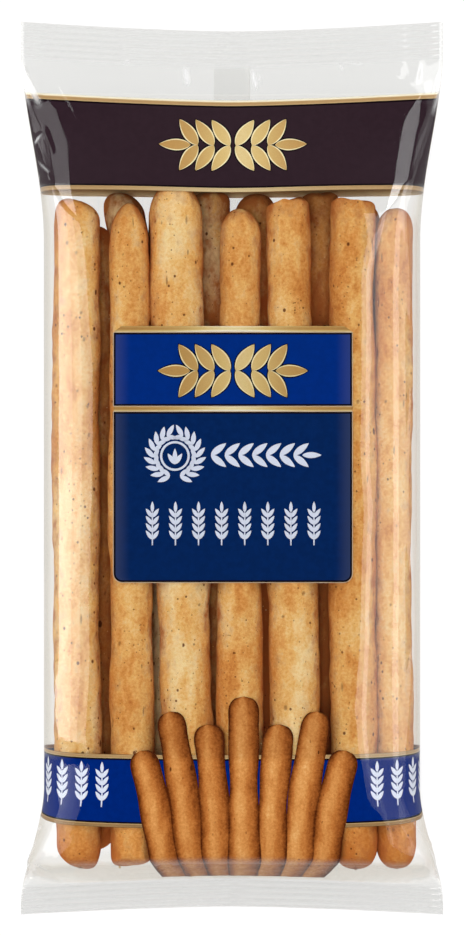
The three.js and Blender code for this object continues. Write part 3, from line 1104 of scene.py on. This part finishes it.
def bandRing(rows, layer, key, values):
    # a closed strip round the bag, through the given rows
    along = np.stack([edgePlace(y) for y in rows])
    grid = np.stack([np.broadcast_to(filmA, along.shape), along], axis=-1)
    return sheet(grid, layer, {key: values}, loop=True)


def lineGlow(count):
    # what is added to the sheen of the dark band's lower line: a bell on the front's middle, and a
    # slope from one side of the line to the other on the back
    onBack = np.linspace(*bands["backGlow"], count)[:, None]
    return bands["middleGlow"] * middleShare + behind * onBack


def makeBands(lineGold, darkInk):
    # each band is its ground, a gold line outside both of its edges and a dark one inside them.
    # side is -1 at a lower edge and 1 at an upper one, and order keeps all rows running upwards.
    plumInk = inkShader("plumInk", *bands["darkInk"])
    bandInk = inkShader("bandInk", *bands["blueInk"])
    for name, places, ground, slot, lines in (
        ("darkBand", bands["dark"], plumInk, "print_dark", bands["lines"][:2]),
        ("blueBand", bands["blue"], bandInk, "print_blue", bands["lines"][2:]),
    ):
        printed(name, [bandRing(placesBetween(filmY, *places), 6, "paintedVeil", 0.0)], ground)
        gold, edges = [], []
        for y, side, (width, sheen) in zip(places, (-1, 1), lines):
            rows = y + side * (width * np.linspace(0, 1, len(sheen)) - bands["overlap"])
            order = slice(None, None, side)
            glow = lineGlow(len(sheen)) if y == bands["dark"][0] else 0
            gold.append(bandRing(rows[order], 5, "sheen", (np.array(sheen)[:, None] + glow)[order]))
            edges.append(bandRing(y - side * bands["edge"] * np.array([1, 0])[order], 4, "paintedVeil", 0.0))
        printed(name + "Lines", gold, lineGold)
        printed(name + "Edges", edges, darkInk)


print("bands")
darkInk = inkShader("lineInk", *bands["lineInk"])
makeBands(goldShader("lineGold", *bands["golds"]), darkInk)


# label panel

label = dict(
    left=-40.4,
    right=41.0,
    bar=(46.5, 48.45),
    blue=(21.25, 46.2),
    line=(19.45, 20.95),
    navy=(-38.95, 19.15),
    chamfer=2.6,
    corner=2.9,
    edge=0.6,  # width of the dark line inside each field's border, and of the pale one outside it
    keyline=0.3,
    paintedVeil=0.85,  # painted reflection of the lights at both sides, which makes the print paler there
    paintedVeilWidth=6,
    square=0.1,  # radius of a corner that isn't rounded
    barSheen=(0.8, 0.62, 0.34, 0.26, 0.26, 0.32, 0.5),  # of a gold bar, from its lower edge up
    barGlow=(0.5, 0.22),  # and what its middle adds to that, over this share of the label's width
    royal=(rgb(0, 48, 138), 0.25),
    deep=(rgb(5, 41, 99), 0.35),
    pale=(rgb(216, 190, 164), 0.1),
    golds=(rgb(108, 80, 46), rgb(180, 136, 72), rgb(214, 184, 118), rgb(240, 226, 180), rgb(252, 246, 228)),
)
labelWide = label["right"] - label["left"]
labelShare = (placesBetween(filmA, label["left"], label["right"]) - label["left"]) / labelWide


def labelGrid(rows, inset):
    # the label's columns at the given rows; inset is how far its sides stand in at each of them
    around = label["left"] + inset[:, None] + (labelWide - 2 * inset[:, None]) * labelShare[None, :]
    return np.stack(np.broadcast_arrays(around, rows[:, None]), axis=-1)


def field(low, high, corner, paintedVeil):
    # a field of colour, with quarter circles at its two lower corners
    turn = np.linspace(0, np.pi / 2, 9)
    rounded = low + corner * (1 - np.cos(turn))
    rows = np.unique(np.concatenate([rounded, placesBetween(filmY, low + corner, high)]))
    up = np.clip(rows - low, 0, corner)
    inset = corner - np.sqrt(corner**2 - (corner - up) ** 2)
    return sheet(labelGrid(rows, inset), 4, {"paintedVeil": paintedVeil})


def border(low, high, corner, inner, outer, layer):
    # a closed strip round a field, from one distance off its outline to another: quarter circles
    # at the corners, and straight sides between them
    left, right, square = label["left"], label["right"], label["square"]
    corners = ((right, high, square), (left, high, square), (left, low, corner), (right, low, corner))
    arcs = []
    for quarter, (x, y, radius) in enumerate(corners):
        turn = (quarter + np.linspace(0, 1, 7)) * np.pi / 2
        normal = np.stack([np.cos(turn), np.sin(turn)], axis=-1)
        outwards = np.sign([x - (left + right) / 2, y - (low + high) / 2])
        arcs.append((np.array([x, y]) - radius * outwards + radius * normal, normal))
    share = np.linspace(0, 1, 56)[1:-1, None]
    path, out = [], []
    for (arc, normal), (following, _) in zip(arcs, arcs[1:] + arcs[:1]):
        path += [arc, arc[-1] + (following[0] - arc[-1]) * share]
        out += [normal, np.repeat(normal[-1:], len(share), axis=0)]
    path, out = np.concatenate(path), np.concatenate(out)
    grid = np.stack([path + out * offset for offset in (outer, inner)])
    return sheet(grid, layer, {"paintedVeil": 0.0}, loop=True)


def goldBar(low, high, chamfer):
    # a bar across the label: old gold, brightest near the middle and along its lower edge. Its
    # sides lean in by the chamfer.
    across = np.array(label["barSheen"])[:, None]
    along = belled(label["barGlow"], labelShare - 0.5)[None, :]
    rows = np.linspace(low, high, len(across))
    inset = chamfer * (rows - low) / (high - low)
    return sheet(labelGrid(rows, inset), 3, {"sheen": np.clip(across + along, 0, 1)})


def makeLabel(goldInk, darkInk):
    # two fields of colour with a dark and a pale line round each, and a gold bar over and between
    fromSide = np.minimum(labelShare, 1 - labelShare) * labelWide
    # painted reflection, fading in from both sides of the label
    paintedVeil = label["paintedVeil"] * (1 - smoothStep(0, label["paintedVeilWidth"], fromSide))[None, :]
    upper = (*label["blue"], label["square"])
    lower = (*label["navy"], label["corner"])
    printed("labelBlue", [field(*upper, paintedVeil)], inkShader("royalInk", *label["royal"]))
    printed("labelNavy", [field(*lower, paintedVeil)], inkShader("navyInk", *label["deep"]))
    edges = [border(*place, -label["edge"], 0, 2) for place in (upper, lower)]
    printed("labelEdges", edges, darkInk)
    keylines = [border(*place, 0, label["keyline"], 5) for place in (upper, lower)]
    printed("labelKeylines", keylines, inkShader("paleInk", *label["pale"]))
    bars = [goldBar(*label["bar"], label["chamfer"]), goldBar(*label["line"], 0)]
    printed("labelBars", bars, goldInk)


print("label")
goldInk = goldShader("goldInk", *label["golds"])
makeLabel(goldInk, darkInk)


# ornaments: wheat ears in gold and in white, and a small wreath

smallLeaf = dict(count=9, columns=np.array([-1, -0.5, 0, 0.5, 1.0]))  # the mesh of a tiny kernel


def sprig(x, y, angle, pairs, pitch, lean, length, width, tip, **form):
    # a wheat ear from (x, y): pairs of kernels that lean off the way it runs, and one at its tip
    run = np.array([np.sin(np.radians(angle)), np.cos(np.radians(angle))])
    kernels = []
    for pair in range(pairs):
        root = np.array([x, y]) + run * pair * pitch
        kernels += [leaf(*root, angle + side * lean, length, width, **form) for side in (-1, 1)]
    root = np.array([x, y]) + run * ((pairs - 1) * pitch + tip)
    return kernels + [leaf(*root, angle, length, 0.9 * width, **form)]


ear = dict(
    places=((0.3, 111.0), (0.3, 33.2)),
    half=25.6,  # from the middle of the two ears to their tips
    size=dict(pairs=3, pitch=5.6, lean=55, length=11.0, width=4.6, tip=2.4),
    start=1.0,
    outline=0.42,
    ground=0.32,
    glow=(0.36, 0.5),  # what the middle adds to it, over what share of the half
    glowPlace=0.1,
    rim=0.86,
)


def earSheen(grid, centreX):
    # old gold at the left, bright near the middle, and a pale rim round every kernel
    place = (grid[..., 0] - centreX) / ear["half"]
    ground = ear["ground"] + belled(ear["glow"], place - ear["glowPlace"])
    return mix(ground, ear["rim"], (np.abs(rimColumns) > 0.8)[None, :] * 1.0)


def makeEars(goldInk, darkInk):
    # at each place one ear to the left and one to the right, over a darker and wider copy
    gold, outlines = [], []
    for x, y in ear["places"]:
        for side in (-1, 1):
            root = (x + side * ear["start"], y, side * 90)
            kernels = sprig(*root, **ear["size"])
            wider = sprig(*root, **ear["size"], grow=ear["outline"])
            gold += [sheet(grid, 1, {"sheen": earSheen(grid, x)}) for grid in kernels]
            outlines += [sheet(grid, 2, {"paintedVeil": 0.0}) for grid in wider]
    printed("goldEars", gold, goldInk)
    printed("earOutlines", outlines, darkInk)


motifs = dict(
    wreath=(-19.5, 4.1),
    wreathRadius=7.2,
    wreathTurns=np.linspace(14, 158, 9),  # degrees up each side
    wreathLeaves=((38, 4.6, 1.7), (-32, 3.6, 1.5)),  # lean, length and width of each pair's leaves
    ringRadius=4.7,
    ringStroke=0.8,
    budFoot=2.8,  # below the ring's middle
    budLeaves=((-34, 4.4), (0, 5.4), (34, 4.4)),  # lean and length
    budWidth=1.6,
    longEar=(-7.2, 4.4, 90),
    longSize=dict(pairs=7, pitch=4.7, lean=38, length=6.6, width=2.3, tip=3.0),
    shortSize=dict(pairs=4, pitch=2.5, lean=36, length=3.8, width=1.35, tip=1.7),
    stalk=2.0,  # below the first kernels of a short ear
    stalkHalf=0.24,
    word=(-27.2, 28, 8),  # first place, last place and how many
    wordFoot=-26.4,
    bandRows=((-65.6, -44.4, 4), (49.6, 70.8, 4)),
    bandFoot=-115.8,
    bandLift=2.6,  # how much further up an ear would stand on a side fold
    ink=(rgb(226, 232, 250), 0.08),
)


def wreathLeaves(x, y):
    # leaves in pairs up both sides of a circle, each leaning off the way it runs
    radius = motifs["wreathRadius"]
    shapes = []
    for side in (-1, 1):
        for turn in motifs["wreathTurns"]:
            place = np.radians(turn)
            at = (x + side * radius * np.sin(place), y - radius * np.cos(place))
            shapes += [leaf(*at, side * (90 - turn + lean), *size) for lean, *size in motifs["wreathLeaves"]]
    return shapes


def shortEar(x, y):
    # an upright ear on its own stalk
    size = motifs["shortSize"]
    length = motifs["stalk"] + size["pitch"] * (size["pairs"] - 1) + size["tip"]
    path = straight(x, y, 0, length, smallLeaf["count"])
    stalk = ribbon(path, np.full(len(path), motifs["stalkHalf"]), smallLeaf["columns"])
    return [stalk] + sprig(x, y + motifs["stalk"], 0, **size, **smallLeaf)


def makeMotifs(whiteInk):
    # the wreath with its ring and bud, the long ear, and the short ears of the label and the band.
    # Neighbours lie in two layers by turns, so that they don't meet where they overlap.
    x, y = motifs["wreath"]
    shapes = wreathLeaves(x, y)
    for angle, length in motifs["budLeaves"]:
        shapes.append(leaf(x, y - motifs["budFoot"], angle, length, motifs["budWidth"]))
    shapes += sprig(*motifs["longEar"], **motifs["longSize"])
    for place in np.linspace(*motifs["word"]):
        shapes += shortEar(place, motifs["wordFoot"])
    for row in motifs["bandRows"]:
        for place in np.linspace(*row):
            lift = motifs["bandLift"] * (abs(place) / girth) ** 3
            shapes += shortEar(place, motifs["bandFoot"] + lift)
    sheets = [sheet(grid, number % 2, {"paintedVeil": 0.0}) for number, grid in enumerate(shapes)]
    rim = ring(x, y, motifs["ringRadius"], motifs["ringStroke"])
    printed("whiteMotifs", [*sheets, sheet(rim, 1, {"paintedVeil": 0.0}, loop=True)], whiteInk)


print("ornaments")
makeEars(goldInk, darkInk)
makeMotifs(inkShader("whiteInk", *motifs["ink"]))


# printed fan of breadsticks

fan = dict(
    pivot=(4, -230),
    reach=(152, 143, 149, 138),  # how far the bars reach from the pivot, from the middle one outwards
    foot=-141.2,
    spread=4.9,  # degrees from one bar to the next
    half=5.1,
    # a bar's columns from side to side, and its tone in each of them
    columns=np.array([-1, -0.93, -0.85, -0.6, -0.3, 0, 0.3, 0.6, 0.85, 0.93, 1.0]),
    shade=np.array([0.0, 0.06, 0.22, 0.54, 0.72, 0.66, 0.5, 0.32, 0.14, 0.02, 0.0]),
    rows=90,
    tip=6.0,
    tipPower=2.4,  # 2 is a round tip, and more is squarer
    tipShade=(0.16, 5),
    jitter=(-0.05, 0.07),  # of each bar's tone
    cut=25,  # length of the foot over which the bar is sheared to end level
    tones=(
        (0.0, rgb(84, 36, 12)),
        (0.25, rgb(148, 80, 32)),
        (0.5, rgb(192, 118, 56)),
        (0.75, rgb(222, 156, 88)),
        (1.0, rgb(242, 196, 134)),
    ),
    specks=(
        (2.2, 0.5, 0.35, 0.3, 0.5, rgb(110, 54, 22)),
        (5.5, 0.45, 0.4, 0.6, 0.85, rgb(78, 34, 12)),
    ),
)


def crustInk():
    # a printed stick: golden brown by its tone value, with soft streaks and dark specks
    make = Shader("crustInk")
    streaks = make.noise(make.place((1, 0.4, 1)), 3.2, detail=5, roughness=0.65)
    grain = make.noise(make.place(), 0.9, detail=3, roughness=0.7)
    tone = make.varied(make.varied(make.value("tone"), streaks, 0.6), grain, 0.5)
    colour, height = pitted(make, make.ramp(tone, fan["tones"]), grain, fan["specks"])
    return make.finish(make.matte(colour, 0.5, 0.0, make.bump(height, 0.03)))


def fanBar(number, random):
    # one bar: a ribbon out from the pivot, rounded at its tip by a superellipse, with a slightly
    # wavy width, and sheared at its foot so that it is cut off level
    angle = number * fan["spread"]
    run = np.array([np.sin(np.radians(angle)), np.cos(np.radians(angle))])
    x, y = fan["pivot"]
    start = (fan["foot"] - y) / run[1]
    length = fan["reach"][abs(number)] - start
    path = straight(x + start * run[0], fan["foot"], angle, length, fan["rows"])
    t = np.linspace(0, length, fan["rows"])
    fromTip, power = np.clip((length - t) / fan["tip"], 0, 1), fan["tipPower"]
    wave = 1 + 0.05 * np.sin(t / random.uniform(6, 9) + number) + 0.03 * np.sin(t / 3.1 + 2 * number)
    half = fan["half"] * (1 - (1 - fromTip) ** power).clip(1e-4, 1) ** (1 / power) * wave
    tipTone = faded(fan["tipShade"], length - t)[:, None]
    tone = fan["shade"][None, :] + random.uniform(*fan["jitter"]) - tipTone
    grid = ribbon(path, half, fan["columns"])
    level = (fan["foot"] - grid[:1, :, 1]) / run[1] * np.clip(1 - t / fan["cut"], 0, 1)[:, None]
    return sheet(grid + level[..., None] * run, abs(number), {"tone": tone})


def makeFan():
    # the bars from left to right, each in a layer behind the one nearer the middle
    random = np.random.RandomState(21)
    bars = [fanBar(number, random) for number in range(-3, 4)]
    printed("printedFan", bars, crustInk())


print("printed fan")
makeFan()


# floor, light and camera

studio = dict(
    floorHalf=3000,
    floor=(0.12, 0.12, 0.12),
    floorGlow=0.93,
    floorDepth=0.2,  # below the bag
    distance=967,  # from the camera to the seal plane
    viewLong=325,  # what it sees there, top to bottom
    sensor=36,
    # the sky's brightness, by how high it is, 0 to 1
    sky=((0.1, 0.9), (0.8, 0.012)),
    # boxes of light in metres: name, place, width, length along the bag, radiance
    boxes=(
        ("leftBox", (-0.75, 0.2, 0.75), 1.18, 0.95, 1.5),
        ("rightBox", (0.75, 0.2, 0.75), 1.18, 0.95, 1.3),
        ("keyBox", (-0.25, -0.2, 2.05), 0.9, 0.9, 6.9),
        ("topBox", (0.1, 1.3, 1.2), 0.6, 0.6, 2.2),
    ),
    # strips of light along the bag that only its film mirrors, at different distances, because
    # one hides another in the same plane: side, start and end in degrees from overhead, middle
    # and length along the bag, radiance
    shineDistance=0.98,
    shineStep=0.03,
    shines=(
        (-1, 15, 76, 0.085, 0.67, 1.7),
        (-1, 30, 76, 0.085, 0.67, 1.0),
        (-1, 46, 76, 0.085, 0.67, 0.9),
        (1, 15, 76, 0.13, 0.76, 1.5),
        (1, 10, 21, 0.13, 0.76, 1.6),
        (1, 49, 60, 0.13, 0.76, 1.6),
        (-1, 20, 76, 0.87, 0.8, 3.2),
        (1, 20, 88, 0.93, 0.8, 6.0),
    ),
)


def makeFloor():
    # a lit table: it glows, so that what stands on it casts hardly any shadow
    half = studio["floorHalf"] * mm
    depth = -studio["floorDepth"] * mm
    mesh = bpy.data.meshes.new("floor")
    corners = [(-half, -half, depth), (half, -half, depth), (half, half, depth), (-half, half, depth)]
    mesh.from_pydata(corners, [], [(0, 1, 2, 3)])
    make = Shader("paleFloor")
    body = make.node("ShaderNodeBsdfPrincipled", {"Base Color": studio["floor"], "Roughness": 0.9})
    body.inputs["Specular IOR Level"].default_value = 0.0
    body.inputs["Emission Color"].default_value = (1, 1, 1, 1)
    body.inputs["Emission Strength"].default_value = studio["floorGlow"]
    mesh.materials.append(make.finish(body))
    floor = bpy.data.objects.new("floor", mesh)
    bpy.context.scene.collection.objects.link(floor)


def softBox(name, place, wide, tall, radiance, inFilm):
    # a rectangle of light; its power is its radiance times pi times its area. Either it is only
    # seen mirrored in the film, and faces the bag's centre line beside it, or it only lights the
    # bag, and faces its middle.
    light = bpy.data.lights.new(name, "AREA")
    light.shape = "RECTANGLE"
    light.size = wide
    light.size_y = tall
    light.energy = radiance * np.pi * wide * tall
    lamp = bpy.data.objects.new(name, light)
    lamp.location = place
    target = Vector((0, place[1] if inFilm else 0, 0.015))
    lamp.rotation_euler = (target - Vector(place)).to_track_quat("-Z", "Y").to_euler()
    lamp.visible_camera = False
    lamp.visible_glossy = inFilm
    lamp.visible_diffuse = not inFilm
    bpy.context.scene.collection.objects.link(lamp)


def makeWorld():
    # bright low down and dark overhead, so that the flat front of the film stays clear
    world = bpy.data.worlds.new("studio")
    world.use_nodes = True
    tree = world.node_tree
    background = tree.nodes["Background"]
    coords = tree.nodes.new("ShaderNodeTexCoord")
    split = tree.nodes.new("ShaderNodeSeparateXYZ")
    ramp = tree.nodes.new("ShaderNodeValToRGB")
    tree.links.new(coords.outputs["Generated"], split.inputs[0])
    tree.links.new(split.outputs["Z"], ramp.inputs["Fac"])
    tree.links.new(ramp.outputs["Color"], background.inputs["Color"])
    for element, (place, grey) in zip(ramp.color_ramp.elements, studio["sky"]):
        element.position = place
        element.color = (grey, grey, grey, 1)
    background.inputs["Strength"].default_value = 1.0
    bpy.context.scene.world = world


def makeCamera():
    # straight overhead; the lens is as long for its sensor as the view is far for its length
    camera = bpy.data.cameras.new("camera")
    camera.sensor_width = studio["sensor"]
    camera.lens = studio["sensor"] * studio["distance"] / studio["viewLong"]
    viewer = bpy.data.objects.new("camera", camera)
    viewer.location = (0, 0, (bag["sealPlane"] + studio["distance"]) * mm)
    bpy.context.scene.collection.objects.link(viewer)
    bpy.context.scene.camera = viewer


print("studio")
makeFloor()
for name, place, wide, tall, radiance in studio["boxes"]:
    softBox(name, place, wide, tall, radiance, False)
for number, (side, start, end, centre, long, radiance) in enumerate(studio["shines"]):
    angle = np.radians((start + end) / 2)
    distance = studio["shineDistance"] - studio["shineStep"] * number
    tall = 2 * distance * np.tan(np.radians((end - start) / 2))
    place = (float(side * distance * np.sin(angle)), centre, float(distance * np.cos(angle)))
    softBox(f"shine{number + 1}", place, long, float(tall), radiance, True)
makeWorld()
makeCamera()
bpy.context.scene.view_settings.view_transform = "Standard"
